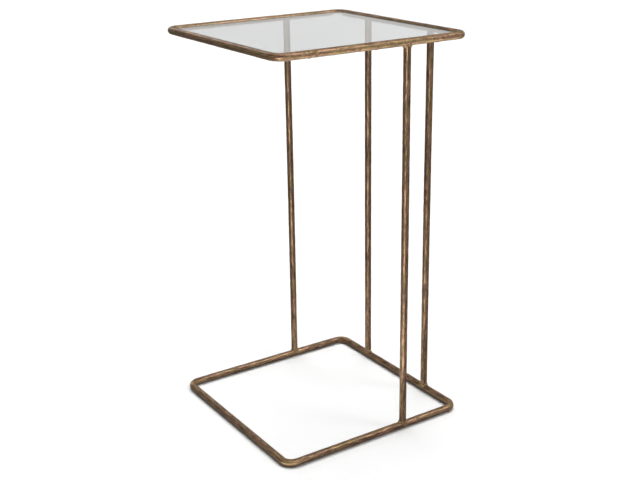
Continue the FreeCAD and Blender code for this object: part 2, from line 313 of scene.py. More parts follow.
def leg_place(node):
    """The middle of an upright, and the angle from X of the rail that it stands on."""
    box_low, box_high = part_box(node)
    middle = (box_low + box_high) / 2
    on_side_rail = abs(middle.x) > half_x - rod_radius
    return middle.x, middle.y, QUARTER_TURN if on_side_rail else 0.0


def saddle(radius, across_angle):
    """Height of the rail's surface above its axis, under a point of the upright."""
    inside = np.clip(rod_radius ** 2 - (radius * np.sin(across_angle)) ** 2, 0, None)
    return np.maximum(np.sqrt(inside), horn_trim)


print("saddles end", round(horn_trim / MM, 2), "mm above the middle of the rail")

# %% [markdown]
# The side of an upright is a dented tube from one saddle to the other. The saddle's formula
# closes the ends too, on circles that shrink to the middle. No upright is quite straight, so
# the centre-line bows by half a sine wave. The metal is rubbed brighter near the joints,
# where the welds were dressed.

# %% Uprights
LEG_ROWS = 240
LEG_SEED = 11
LEG_START = 4.0
# Radii of the circles that close an end, as shares of the rod's radius.
CAP_SHARES = np.linspace(0.15, 0.9, 5)[:, None]
JOINT_WEAR_REACH = 22 * MM
# How far each upright's middle is bowed along X and Y.
BOWS = {
    "side_leg_left": (0.33 * MM, 0.5 * MM),
    "side_leg_right": (0.1 * MM, 0.2 * MM),
    "back_leg_left": (-0.1 * MM, -0.1 * MM),
    "back_leg_right": (-0.33 * MM, -0.5 * MM),
}


def make_leg(node, seed, start):
    """Rows run from one saddle to the other, with the caps' smaller circles at both ends."""
    leg_x, leg_y, rail_angle = leg_place(node)
    angle = (FULL_TURN * np.arange(ROD_COLUMNS) / ROD_COLUMNS)[None, :]
    foot = saddle(rod_radius, angle - rail_angle)
    side_height = foot + (rod_span - 2 * foot) * np.linspace(0, 1, LEG_ROWS)[:, None]
    side_radius = rod_radius - dents(side_height, angle, rod_span, seed)
    foot_radius = CAP_SHARES * side_radius[:1]
    head_radius = CAP_SHARES[::-1] * side_radius[-1:]
    foot_height = saddle(foot_radius, angle - rail_angle)
    head_height = rod_span - saddle(head_radius, angle - rail_angle)
    radius = np.vstack([foot_radius, side_radius, head_radius])
    height = np.vstack([foot_height, side_height, head_height])
    bow = np.sin(math.pi * height / rod_span)
    bow_x, bow_y = BOWS[node]
    grid = np.stack([leg_x + bow_x * bow + radius * np.cos(angle),
                     leg_y + bow_y * bow + radius * np.sin(angle),
                     base_axis + height], axis=-1)
    surface = closed_surface(grid)
    piece = add_piece(node.replace("leg", "upright"), [surface], "frame", [node])
    along = straighten(radius, angle, height, start).reshape(-1, 3)
    poles = np.array([[0, 0, start], [0, 0, start + rod_span]])
    to_end = np.minimum(height, rod_span - height).ravel()
    wear = np.append(fade(to_end, JOINT_WEAR_REACH), [1.0, 1.0])
    keep_finish_data(piece, np.vstack([along, poles]), wear)
    return piece


uprights = [make_leg(node, LEG_SEED + index, LEG_START + index)
            for index, node in enumerate(LEG_NODES)]

# %% [markdown]
# ## Weld beads
# An upright is welded all round and the weld is dressed with a file. It shows as a small
# hollow flare, longer along the rail than across it, with the ripples of the filler rod still
# in it. Each bead is a closed ring round the upright: across it runs a quadratic Bezier curve
# from the upright down to the rail, pulled into the corner between them, and the ring closes
# inside the metal. Sine waves in both directions make the lumps, which fade at the curve's
# ends, where the bead meets the rods.

# %% Shape of a weld
WELD_COLUMNS = 72
WELD_ROWS = 14
WELD_REACH = 5.3 * MM
WELD_HEIGHT = 4.6 * MM
WELD_CROWN = 0.62 * MM
WELD_WRAP = math.radians(80)
WELD_SINK = 0.35 * MM
REACH_WAVER = 0.12
CLIMB_WAVER = 0.14
LUMP_SIZE = 0.34 * MM
LUMP_WAVES = 16
LUMPS_AROUND = (2, 14)
LUMPS_ACROSS = (0.5, 3.0)
LUMP_RISE = 0.6
HIDDEN_SHARE = 0.6


def weld_lumps(angle, share, draws):
    """Sum of waves round the bead and across it, with no height at the two edges."""
    total = np.zeros(np.broadcast_shapes(angle.shape, share.shape))
    for _ in range(LUMP_WAVES):
        around = draws.integers(*LUMPS_AROUND)
        across = draws.uniform(*LUMPS_ACROSS)
        total += np.sin(around * angle + across * math.pi * share + draws.uniform(0, FULL_TURN))
    return LUMP_SIZE / math.sqrt(LUMP_WAVES / 2) * total * np.sin(math.pi * share)


def weld_grid(seed):
    """The bead round an upright at the origin, with its rail's axis along X."""
    draws = np.random.default_rng(seed)
    angle = (FULL_TURN * np.arange(WELD_COLUMNS) / WELD_COLUMNS)[None, :]
    share = np.linspace(0, 1, WELD_ROWS)[:, None]
    reach_wave = np.sin(angle + draws.uniform(0, FULL_TURN))
    climb_wave = np.sin(2 * angle + draws.uniform(0, FULL_TURN))
    reach = WELD_REACH * (1 - REACH_WAVER + REACH_WAVER * reach_wave)
    climb = WELD_HEIGHT * (1 - CLIMB_WAVER + CLIMB_WAVER * climb_wave)
    sunk = rod_radius - WELD_SINK
    wrap = WELD_WRAP * np.sin(angle)
    along = (rod_radius + reach) * np.cos(angle)
    lower = np.stack([along, sunk * np.sin(wrap), sunk * np.cos(wrap)], axis=-1)
    upper = np.stack([sunk * np.cos(angle), sunk * np.sin(angle), rod_radius + climb], axis=-1)
    corner_radius = rod_radius + WELD_CROWN
    corner = np.stack([corner_radius * np.cos(angle), corner_radius * np.sin(angle),
                       rod_radius * np.abs(np.cos(angle)) + WELD_CROWN], axis=-1)
    down = share[..., None]
    bead = (1 - down) ** 2 * upper + 2 * down * (1 - down) * corner + down ** 2 * lower
    push = np.stack(np.broadcast_arrays(np.cos(angle), np.sin(angle), LUMP_RISE), axis=-1)
    bead = bead + weld_lumps(angle, share, draws)[..., None] * push
    hidden = (upper + lower) / 2 * np.array([HIDDEN_SHARE, HIDDEN_SHARE, 1.0])
    return np.concatenate([bead, hidden], axis=0)

# %% [markdown]
# One shape serves all eight joints: it is turned to lie along its rail, and upside down at the
# rim. Each joint draws random numbers of its own, so no two beads are alike. They are worn
# all over, because the smith went over them with a hand file.

# %% Weld beads
def make_welds(name, node, at_rim, first_seed):
    """One bead at each upright; the ones at the rim are the same shape upside down."""
    surfaces = []
    for index, leg in enumerate(LEG_NODES):
        leg_x, leg_y, rail_angle = leg_place(leg)
        cos, sin = math.cos(rail_angle), math.sin(rail_angle)
        grid = weld_grid(first_seed + index) @ np.array([[cos, sin, 0], [-sin, cos, 0], [0, 0, 1]])
        if at_rim:
            grid = grid * np.array([1, 1, -1])
        place = np.array([leg_x, leg_y, rim_axis if at_rim else base_axis])
        surfaces.append(closed_surface(grid + place, wrap_rows=True))
    piece = add_piece(name, surfaces, "frame", [node])
    points = np.vstack([surface[0] for surface in surfaces])
    keep_finish_data(piece, points, np.ones(len(points)))
    return piece


foot_welds = make_welds("foot_weld_beads", "leg_foot_welds", at_rim=False, first_seed=31)
head_welds = make_welds("head_weld_beads", "leg_top_welds", at_rim=True, first_seed=41)

# %% [markdown]
# ## Ledges under the glass
# Flat bars with mitred ends carry the glass, notched where an upright's weld is in the way.
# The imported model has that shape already, but its edges are perfectly sharp and so catch no
# light. A copy of each bar is merged, its flat faces are joined up, and its edges are eased
# with a small bevel.

# %% Bars with eased edges
EDGE_EASE = 0.4 * MM
MERGE_DISTANCE = 0.01 * MM
FLAT_TURN = math.radians(1)
SHARP_TURN = math.radians(20)


def eased_copy(name, node):
    """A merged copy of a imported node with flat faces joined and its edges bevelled."""
    shape = bmesh.new()
    shape.from_mesh(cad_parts[node].data)
    bmesh.ops.remove_doubles(shape, verts=shape.verts, dist=MERGE_DISTANCE)
    bmesh.ops.dissolve_limit(shape, angle_limit=FLAT_TURN, verts=shape.verts, edges=shape.edges)
    edges = [edge for edge in shape.edges if edge.calc_face_angle(0.0) > SHARP_TURN]
    bmesh.ops.bevel(shape, geom=edges, offset=EDGE_EASE, segments=3, profile=0.5,
                    affect="EDGES", clamp_overlap=True)
    bmesh.ops.recalc_face_normals(shape, faces=shape.faces)
    mesh = bpy.data.meshes.new(name)
    shape.to_mesh(mesh)
    shape.free()
    mesh.polygons.foreach_set("use_smooth", np.ones(len(mesh.polygons), dtype=bool))
    mesh.set_sharp_from_angle(angle=SHARP_TURN)
    piece = bpy.data.objects.new(name, mesh)
    bpy.context.scene.collection.objects.link(piece)
    return piece

# %% [markdown]
# The streaks of the patina run along a bar too, so its long direction goes to Z in the
# straightened coordinates. Nobody touches the bars under the glass, so they have no wear.

# %% Ledges
LEDGE_NODES = ("ledge_front", "ledge_right", "ledge_back", "ledge_left")
LEDGE_START = 9.0


def mesh_points(mesh):
    """A mesh's points as one array with a row for each."""
    points = np.zeros(3 * len(mesh.vertices))
    mesh.vertices.foreach_get("co", points)
    return points.reshape(-1, 3)


def make_ledge(node, start):
    """The bar, riding with the frame, with its own stretch of patina."""
    piece = eased_copy(node + "_bar", node)
    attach(piece, "frame")
    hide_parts(node)
    points = mesh_points(piece.data)
    box_low, box_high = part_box(node)
    along_x = box_high.x - box_low.x > box_high.y - box_low.y
    order = [1, 2, 0] if along_x else [0, 2, 1]
    keep_finish_data(piece, points[:, order] + np.array([0, 0, start]), np.zeros(len(points)))
    print(piece.name, len(points), "points")
    return piece


ledges = [make_ledge(node, LEDGE_START + index) for index, node in enumerate(LEDGE_NODES)]

# %% [markdown]
# ## Tack welds
# Three short tacks hold each bar to its rail, in the groove below where the two meet. Their
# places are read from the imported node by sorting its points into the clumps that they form:
# points belong together when they fall into the same square of a coarse grid. As it happens,
# a line of that grid runs through each tack, bumper and glide. Each is found as two halves,
# and the scene has two small pieces in the place of one solid.

# %% Places of the tacks
CLUMP_SIZE = 20 * MM


def clump_middles(node):
    """Middle of the box of each clump of a node's points, one clump to a grid square."""
    points = mesh_points(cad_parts[node].data)
    squares = np.floor(points[:, :2] / CLUMP_SIZE + 0.5).astype(int)
    found, member = np.unique(squares, axis=0, return_inverse=True)
    member = member.ravel()
    lows = [points[member == index].min(axis=0) for index in range(len(found))]
    highs = [points[member == index].max(axis=0) for index in range(len(found))]
    return (np.array(lows) + np.array(highs)) / 2


tack_middles = clump_middles("ledge_tack_welds")
print(len(tack_middles), "clumps in the tack welds")

# %% [markdown]
# A tack is a long drop of metal: an ellipsoid whose radius wavers, drawn on circles from pole
# to pole and laid along its rail.

# %% Tack welds
TACK_HALF = np.array([5.0, 1.9, 1.5]) * MM
TACK_RISE = 1.2 * MM
TACK_WEAR = 0.7
TACK_SEED = 60
TACK_ROWS = 13
TACK_COLUMNS = 16
POLE_GAP = 0.12
BROAD_SWELL = 0.07
FINE_SWELL = 0.05


def lumpy_drop(half_sizes, seed):
    """Points (cos polar, sin polar cos around, sin polar sin around), at a wavering radius."""
    draws = np.random.default_rng(seed)
    polar = np.linspace(POLE_GAP, math.pi - POLE_GAP, TACK_ROWS)[:, None]
    around = (FULL_TURN * np.arange(TACK_COLUMNS) / TACK_COLUMNS)[None, :]
    swell = 1 + BROAD_SWELL * np.sin(3 * polar + draws.uniform(0, FULL_TURN)) * np.cos(around)
    swell = swell + FINE_SWELL * np.sin(7 * polar + 2 * around + draws.uniform(0, FULL_TURN))
    grid = np.stack(np.broadcast_arrays(np.cos(polar), np.sin(polar) * np.cos(around),
                                        np.sin(polar) * np.sin(around)), axis=-1)
    return grid * swell[..., None] * half_sizes


def make_tacks():
    """A drop at each tack's place, turned to lie along its rail."""
    surfaces = []
    for index, middle in enumerate(tack_middles):
        grid = lumpy_drop(TACK_HALF, TACK_SEED + index)
        if abs(middle[0]) > abs(middle[1]):
            grid = grid[..., [1, 0, 2]]
        place = middle + np.array([0, 0, TACK_RISE - TACK_HALF[2] / 2])
        surfaces.append(closed_surface(grid + place))
    piece = add_piece("ledge_tack_beads", surfaces, "frame", ["ledge_tack_welds"])
    points = np.vstack([surface[0] for surface in surfaces])
    keep_finish_data(piece, points, np.full(len(points), TACK_WEAR))
    return piece


tack_beads = make_tacks()

# %% [markdown]
# ## Glass pane
# The pane is float glass with rounded corners. Its edge is ground flat, and the two sharp
# corners of the edge are taken off by a round arris. The outline uses the loops' own trick,
# an inner rectangle with a swinging arm, and the profile is the set of insets and heights of
# the rings, from the underside to the top.

# %% Rings of the pane's edge
ARRIS = 0.5 * MM
ARRIS_STEPS = 5
CORNER_STEPS = 16


def pane_outline(pane_high, corner, inset):
    """Points of the rounded rectangle, drawn in by the inset."""
    inner = np.array([pane_high.x - corner, pane_high.y - corner])
    signs = np.array([[1, 1], [-1, 1], [-1, -1], [1, -1]])
    turn = QUARTER_TURN * (np.arange(4)[:, None] + np.linspace(0, 1, CORNER_STEPS)[None, :])
    arm = np.stack([np.cos(turn), np.sin(turn)], axis=-1) * (corner - inset)
    return (signs[:, None, :] * inner + arm).reshape(-1, 2)


def pane_rings():
    """Outlines up the profile, which is a quarter circle, a flat and a quarter circle."""
    pane_low, pane_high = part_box("glass_top")
    corner = bend_radius - (half_x - pane_high.x)
    quarter = np.linspace(0, QUARTER_TURN, ARRIS_STEPS)
    insets = np.concatenate([ARRIS * (1 - np.sin(quarter)), ARRIS * (1 - np.cos(quarter))])
    rise = ARRIS * (1 - np.cos(quarter))
    heights = np.concatenate([pane_low.z + rise, pane_high.z - rise[::-1]])
    outlines = [pane_outline(pane_high, corner, inset) for inset in insets]
    return np.stack([np.column_stack([outline, np.full(len(outline), height)])
                     for outline, height in zip(outlines, heights)])

# %% [markdown]
# One flat face closes the rings below and one on top. The two are shaded flat: smooth shading
# would tilt them towards the arris, and the pane would mirror like a pillow. An attribute on
# the faces tells the material which of them are the ground edge.

# %% Glass pane
def make_glass():
    """The rings of the edge with two flat faces between them."""
    grid = pane_rings()
    rows, columns = grid.shape[:2]
    faces = grid_faces(rows, columns, False)
    faces.append(list(range(columns))[::-1])
    faces.append(list(range((rows - 1) * columns, rows * columns)))
    points = grid.reshape(-1, 3)
    if signed_volume(points, faces) < 0:
        faces = [face[::-1] for face in faces]
    piece = add_piece("glass_pane", [(points, faces)], "glass", ["glass_top"],
                      sharp_degrees=30)
    on_edge = np.ones(len(faces), dtype=bool)
    on_edge[-2:] = False
    piece.data.polygons.foreach_set("use_smooth", on_edge)
    ground = piece.data.attributes.new("ground_edge", "FLOAT", "FACE")
    ground.data.foreach_set("value", on_edge.astype(np.float32))
    return piece


glass_pane = make_glass()

# %% [markdown]
# ## Bumpers and glides
# Four clear domes stop the glass from rattling on the bars, and four clear pads keep the base
# off the floor. Both are round, so a profile of radius and height is turned about Z. The
# pads' tops are pressed to the rod above them: there the height is the rod's underside.

# %% Profiles turned about Z
SMALL_COLUMNS = 32
# From the underside's middle to the top's: radius and height, as shares of the whole.
DOME_SHARES = np.array([[0.45, 0.0], [0.92, 0.0], [0.99, 0.1], [1.0, 0.3], [0.95, 0.6],
                        [0.84, 0.8], [0.62, 0.93], [0.3, 0.99]])
PAD_SHARES = np.array([[0.5, 0.0], [0.88, 0.0], [0.97, 0.08], [1.0, 0.25], [1.0, 0.9],
                       [0.97, 1.0], [0.7, 1.0], [0.35, 1.0]])


def turned(shares, radius, thickness):
    """Grid of a profile, given as shares of the radius and thickness, turned about Z."""
    angle = (FULL_TURN * np.arange(SMALL_COLUMNS) / SMALL_COLUMNS)[None, :]
    ring = shares[:, :1] * radius
    height = np.broadcast_to(shares[:, 1:] * thickness, (len(shares), SMALL_COLUMNS))
    return np.stack([ring * np.cos(angle), ring * np.sin(angle), height], axis=-1)


def round_solids(node):
    """Middles and radius of a node's round clumps, and the heights of underside and top."""
    middles = clump_middles(node)
    box_low, box_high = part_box(node)
    radius = box_high.x - np.abs(middles[:, 0]).max()
    print(node, len(middles), "clumps of radius", round(radius / MM, 2), "mm")
    return middles, radius, box_low.z, box_high.z

# %% Bumpers and glides
SMALL_SHARP_DEGREES = 60


def make_bumpers():
    """A dome on the bars at each bumper's place."""
    middles, radius, bottom, top = round_solids("glass_bumpers")
    dome = turned(DOME_SHARES, radius, top - bottom)
    surfaces = [closed_surface(dome + np.append(middle[:2], bottom)) for middle in middles]
    return add_piece("clear_domes", surfaces, "frame", ["glass_bumpers"],
                     SMALL_SHARP_DEGREES)


def make_glides():
    """A pad under the base at each glide's place, its top no higher than the rod above."""
    middles, radius, bottom, top = round_solids("floor_glides")
    pad = turned(PAD_SHARES, radius, top - bottom)
    surfaces = []
    for middle in middles:
        grid = pad + np.append(middle[:2], bottom)
        across = np.clip(np.abs(grid[..., 0]) - half_x, -rod_radius, rod_radius)
        underside = base_axis - np.sqrt(rod_radius ** 2 - across ** 2)
        grid[..., 2] = np.minimum(grid[..., 2], np.maximum(underside, bottom))
        surfaces.append(closed_surface(grid))
    return add_piece("clear_pads", surfaces, "frame", ["floor_glides"],
                     SMALL_SHARP_DEGREES)


domes = make_bumpers()
pads = make_glides()

# %% [markdown]
# ## A shorthand for shader nodes
# A material is a small program drawn as boxes and wires. These helpers write one box per
# line: an input that is given a socket is wired to it, and one that is given a number or a
# colour is set to it.

# %% Node helpers
def put(socket, value):
    """Wire a socket to another one, or set it to a constant."""
    if isinstance(value, bpy.types.NodeSocket):
        socket.id_data.links.new(value, socket)
    elif hasattr(socket.default_value, "__len__") and len(socket.default_value) > len(value):
        socket.default_value = (*value, 1)
    else:
        socket.default_value = value


def add_node(tree, kind, inputs, **settings):
    """A node with its settings, and its inputs given by name or by place."""
    node = tree.nodes.new(kind)
    for key, value in settings.items():
        setattr(node, key, value)
    for key, value in inputs.items():
        put(node.inputs[key], value)
    return node


def math_node(tree, operation, first, second):
    """The result of one operation on two values, such as a sum or a product."""
    return add_node(tree, "ShaderNodeMath", {0: first, 1: second}, operation=operation).outputs[0]


def linear(tree, start, slope, value):
    """start + slope x value; with a negative slope the value takes away from the start."""
    return math_node(tree, "ADD", start, math_node(tree, "MULTIPLY", value, slope))


def noise(tree, vector, scale, detail, roughness=0.55):
    """Smooth random values about a half, with the given number of repeats per metre."""
    inputs = {"Vector": vector, "Scale": scale, "Detail": detail, "Roughness": roughness}
    return add_node(tree, "ShaderNodeTexNoise", inputs).outputs["Fac"]


def between(tree, value, start, end, out_start=0.0, out_end=1.0):
    """The value taken smoothly from one range to another, and held at its ends."""
    inputs = {"Value": value, "From Min": start, "From Max": end,
              "To Min": out_start, "To Max": out_end}
    return add_node(tree, "ShaderNodeMapRange", inputs,
                    interpolation_type="SMOOTHSTEP").outputs["Result"]

# %% Colours mixed
# The mix node has sockets for numbers and vectors before those for colours.
FIRST_COLOUR = 6
SECOND_COLOUR = 7
MIXED_COLOUR = 2


def mix_colours(tree, factor, first, second, blend="MIX"):
    """Two colours mixed by a factor, or multiplied."""
    inputs = {0: factor, FIRST_COLOUR: first, SECOND_COLOUR: second}
    node = add_node(tree, "ShaderNodeMix", inputs, data_type="RGBA", blend_type=blend)
    return node.outputs[MIXED_COLOUR]

# %% [markdown]
# ## Antique patina, a group for every metal piece
# The maker stains brass-coloured metal brown, then rubs it back with a pad along the rod. What
# is left is a streaky mix of umber and tan, with olive and rosy clouds, dark pits where the
# pad didn't reach, and brighter metal on bends and welds. All metal pieces share one node
# group. Its inputs say where a point is and how worn, how wide and long the streaks are, how
# light the tone is, how much it varies, and how strong the rose and the olive are.

# %% Patina group: what goes in and comes out
PATINA_INPUTS = (("Wear", 0.0), ("Streak Width", 4 * MM), ("Streak Length", 18 * MM),
                 ("Tone", 0.5), ("Contrast", 1.0), ("Rose", 0.7), ("Olive", 0.7))

patina = bpy.data.node_groups.new("antique_patina", "ShaderNodeTree")
patina.interface.new_socket("Place", in_out="INPUT", socket_type="NodeSocketVector")
for label, usual in PATINA_INPUTS:
    made = patina.interface.new_socket(label, in_out="INPUT", socket_type="NodeSocketFloat")
    made.default_value = usual
patina.interface.new_socket("Color", in_out="OUTPUT", socket_type="NodeSocketColor")
for label in ("Metallic", "Roughness", "Height"):
    patina.interface.new_socket(label, in_out="OUTPUT", socket_type="NodeSocketFloat")
given = patina.nodes.new("NodeGroupInput").outputs
print("patina inputs:", [socket.name for socket in given if socket.name])

# %% [markdown]
# The group works in metres on the straightened coordinates. Stretching them along the rod
# turns round noise into streaks. The same stretched space gives fine hairlines at a larger
# scale and slow clouds at a smaller one. Only the grain of the metal is left round.

# %% Patina group: streaks and grain
across_scale = math_node(patina, "DIVIDE", 1.0, given["Streak Width"])
along_scale = math_node(patina, "DIVIDE", 1.0, given["Streak Length"])
stretch = add_node(patina, "ShaderNodeCombineXYZ",
                   {"X": across_scale, "Y": across_scale, "Z": along_scale}).outputs[0]
streak_space = add_node(patina, "ShaderNodeVectorMath", {0: given["Place"], 1: stretch},
                        operation="MULTIPLY").outputs[0]
streaks = noise(patina, streak_space, scale=1.0, detail=4.0, roughness=0.62)
hairlines = noise(patina, streak_space, scale=2.2, detail=3.0, roughness=0.6)
clouds = noise(patina, streak_space, scale=0.27, detail=2.0)
grain = noise(patina, given["Place"], scale=420.0, detail=2.0, roughness=0.6)

# %% [markdown]
# The four noises, each less a half so that it lightens as often as it darkens, add up to one
# tone from umber to tan. Wear lightens the tone and brings out the grain.

# %% Patina group: the tone
STREAK_WEIGHT = 2.0
CLOUD_WEIGHT = 0.5
HAIRLINE_WEIGHT = 1.3
GRAIN_WEIGHT = 0.4
WORN_GRAIN_WEIGHT = 0.25
WORN_TONE = 0.16


def centred(value, weight):
    """weight x (value - a half)."""
    return math_node(patina, "MULTIPLY", math_node(patina, "SUBTRACT", value, 0.5), weight)


broad_part = math_node(patina, "ADD", centred(streaks, STREAK_WEIGHT),
                       centred(clouds, CLOUD_WEIGHT))
grain_weight = linear(patina, GRAIN_WEIGHT, WORN_GRAIN_WEIGHT, given["Wear"])
fine_part = math_node(patina, "ADD", centred(hairlines, HAIRLINE_WEIGHT),
                      centred(grain, grain_weight))
mottle = math_node(patina, "MULTIPLY", math_node(patina, "ADD", broad_part, fine_part),
                   given["Contrast"])
# On the rim's side rails the wear also carries painted light, which lightens the tone there.
bared = linear(patina, given["Tone"], WORN_TONE, given["Wear"])
tone = math_node(patina, "ADD", bared, mottle)

# %% [markdown]
# The tone picks a colour from a ramp of four browns. Rosy and olive clouds lie over it, each
# in a dark and a pale shade that the same tone mixes. The place moved by a different amount
# for each gives independent noises, so the two kinds of cloud don't line up.

# %% Patina group: the stain's colours
TONES = ((0.0, (0.052, 0.027, 0.015)), (0.34, (0.120, 0.063, 0.033)),
         (0.60, (0.245, 0.141, 0.075)), (1.0, (0.45, 0.280, 0.155)))
DARK_ROSE = (0.115, 0.056, 0.040)
PALE_ROSE = (0.45, 0.235, 0.170)
DARK_OLIVE = (0.066, 0.048, 0.019)
PALE_OLIVE = (0.280, 0.213, 0.078)
ROSE_OFFSET = 37.0
OLIVE_OFFSET = 81.0
TINT_EDGES = (0.48, 0.61)


def shifted(place, amount):
    """A place moved far along, where noise has nothing to do with the first."""
    return add_node(patina, "ShaderNodeVectorMath", {0: place, 1: (amount,) * 3},
                    operation="ADD").outputs[0]


def clouded(colour, offset, dark, pale, strength):
    """A colour under clouds of a tint, whose shade goes from dark to pale with the tone."""
    cloud_noise = noise(patina, shifted(streak_space, offset), scale=0.7, detail=3.0)
    mask = between(patina, cloud_noise, *TINT_EDGES, 0.0, strength)
    return mix_colours(patina, mask, colour, mix_colours(patina, tone, dark, pale))


ramp = add_node(patina, "ShaderNodeValToRGB", {0: tone})
while len(ramp.color_ramp.elements) < len(TONES):
    ramp.color_ramp.elements.new(0.5)
for element, (position, colour) in zip(ramp.color_ramp.elements, TONES):
    element.position = position
    element.color = (*colour, 1)
stained = clouded(ramp.outputs["Color"], ROSE_OFFSET, DARK_ROSE, PALE_ROSE, given["Rose"])
stained = clouded(stained, OLIVE_OFFSET, DARK_OLIVE, PALE_OLIVE, given["Olive"])

# %% [markdown]
# The pad bares small spots of brass, and more of them where the metal is worn. It misses the
# smallest pits, which stay nearly black.

# %% Patina group: rubbed spots and pits
RUBBED = (0.42, 0.29, 0.135)
RUB_OFFSET = 5.3
RUB_SCALE = 220.0
RUB_LEVEL = 0.78
WORN_RUB_LEVEL = -0.28
RUB_SOFTNESS = 0.14
RUB_STRENGTH = 0.8
PIT = (0.030, 0.020, 0.014)
PIT_OFFSET = 1.9
PIT_SCALE = 520.0
PIT_EDGES = (0.70, 0.78)
PIT_STRENGTH = 0.75

rub_noise = noise(patina, shifted(given["Place"], RUB_OFFSET), RUB_SCALE, detail=3.0)
rub_level = linear(patina, RUB_LEVEL, WORN_RUB_LEVEL, given["Wear"])
rub_end = math_node(patina, "ADD", rub_level, RUB_SOFTNESS)
rubbed_mask = between(patina, rub_noise, rub_level, rub_end, 0.0, RUB_STRENGTH)
rubbed = mix_colours(patina, rubbed_mask, stained, RUBBED)
pit_noise = noise(patina, shifted(given["Place"], PIT_OFFSET), PIT_SCALE, detail=1.0)
pit_mask = between(patina, pit_noise, *PIT_EDGES, 0.0, PIT_STRENGTH)
finished = mix_colours(patina, pit_mask, rubbed, PIT)

# %% [markdown]
# Stain is duller than the metal under it, so the tone also drives the gloss: dark places are
# rougher and less metallic. Rubbed spots are smoother, and the scratches of wear are rougher
# again. The height is for a bump: streaks and hairlines of stain lie on top of the metal, and
# pits go in.

# %% Patina group: the gloss and the height
STAIN_EDGES = (0.15, 0.85)
CLEAN_METALLIC = 0.86
STAIN_METALLIC = -0.26
CLEAN_ROUGHNESS = 0.325
STAIN_ROUGHNESS = 0.12
RUBBED_ROUGHNESS = -0.10
WORN_ROUGHNESS = 0.10
STREAK_RELIEF = 0.6
HAIRLINE_RELIEF = 0.5
PIT_RELIEF = -0.7

stain = between(patina, tone, *STAIN_EDGES, 1.0, 0.0)
metallic = linear(patina, CLEAN_METALLIC, STAIN_METALLIC, stain)
roughness = linear(patina, CLEAN_ROUGHNESS, STAIN_ROUGHNESS, stain)
roughness = linear(patina, roughness, RUBBED_ROUGHNESS, rubbed_mask)
roughness = linear(patina, roughness, WORN_ROUGHNESS, given["Wear"])
relief = math_node(patina, "MULTIPLY", streaks, STREAK_RELIEF)
relief = linear(patina, relief, HAIRLINE_RELIEF, hairlines)
relief = linear(patina, relief, PIT_RELIEF, pit_mask)
outcome = {"Color": finished, "Metallic": metallic, "Roughness": roughness, "Height": relief}
add_node(patina, "NodeGroupOutput", outcome)
print("patina group of", len(patina.nodes), "nodes")

# %% [markdown]
# ## Five brasses from one group
# Uprights, rim, base, welds and flat bars took the same stain differently, so each has a
# material of its own with the group's values set for it. The base is the most blotched and
# the rim the most even. Welds are lighter and lumpier, with streaks hardly longer than they
# are wide, because no pad can be drawn along them. The bars have broad streaks.
#
# The metal's edge tint is lowered, because stained brass does not turn white at grazing
# angles as clean metal does. Over it lies a thin coat of wax, whose own colourless reflection
# takes some of the yellow out of the highlights.

# %% Brass from the patina group
EDGE_TINT = (0.60, 0.55, 0.50)
WAX_WEIGHT = 0.3
WAX_ROUGHNESS = 0.28
RELIEF_STRENGTH = 0.6


def new_material(name):
    """A material with nodes: itself, its node tree and its Principled shader."""
    material = bpy.data.materials.new(name)
    material.use_nodes = True
    return material, material.node_tree, material.node_tree.nodes["Principled BSDF"]


def make_brass(name, streak_size, tone_level, bump_depth, contrast=1.0, rose=0.6, olive=0.7):
    """Patina on the piece's own attributes, with a bump from its height."""
    material, tree, shader = new_material(name)
    place = add_node(tree, "ShaderNodeAttribute", {}, attribute_name="rod_space")
    wear = add_node(tree, "ShaderNodeAttribute", {}, attribute_name="wear")
    inputs = {"Place": place.outputs["Vector"], "Wear": wear.outputs["Fac"],
              "Streak Width": streak_size[0], "Streak Length": streak_size[1],
              "Tone": tone_level, "Contrast": contrast, "Rose": rose, "Olive": olive}
    group = add_node(tree, "ShaderNodeGroup", {}, node_tree=patina)
    for key, value in inputs.items():
        put(group.inputs[key], value)
    bump = add_node(tree, "ShaderNodeBump", {"Height": group.outputs["Height"],
                                             "Strength": RELIEF_STRENGTH,
                                             "Distance": bump_depth})
    for key in ("Metallic", "Roughness"):
        put(shader.inputs[key], group.outputs[key])
    put(shader.inputs["Base Color"], group.outputs["Color"])
    put(shader.inputs["Normal"], bump.outputs["Normal"])
    put(shader.inputs["Specular Tint"], EDGE_TINT)
    put(shader.inputs["Coat Weight"], WAX_WEIGHT)
    put(shader.inputs["Coat Roughness"], WAX_ROUGHNESS)
    return material

# %% The five brasses
rod_brass = make_brass("rubbed_rod_brass", (2.8 * MM, 24 * MM), tone_level=0.52,
                       bump_depth=0.08 * MM, contrast=1.2)
rim_brass = make_brass("bent_rim_brass", (2.3 * MM, 24 * MM), tone_level=0.50,
                       bump_depth=0.08 * MM)
base_brass = make_brass("bent_base_brass", (2.0 * MM, 20 * MM), tone_level=0.51,
                        bump_depth=0.08 * MM, contrast=1.5, rose=0.75, olive=0.8)
weld_brass = make_brass("weld_brass", (1.8 * MM, 2.4 * MM), tone_level=0.57,
                        bump_depth=0.2 * MM, contrast=1.5)
bar_brass = make_brass("flat_bar_brass", (5 * MM, 26 * MM), tone_level=0.52,
                       bump_depth=0.1 * MM)

for brass, pieces in ((rod_brass, uprights), (rim_brass, [rim_rod]), (base_brass, [base_rod]),
                      (weld_brass, [foot_welds, head_welds, tack_beads]), (bar_brass, ledges)):
    for piece in pieces:
        piece.data.materials.append(brass)
    print(brass.name, "on", [piece.name for piece in pieces])

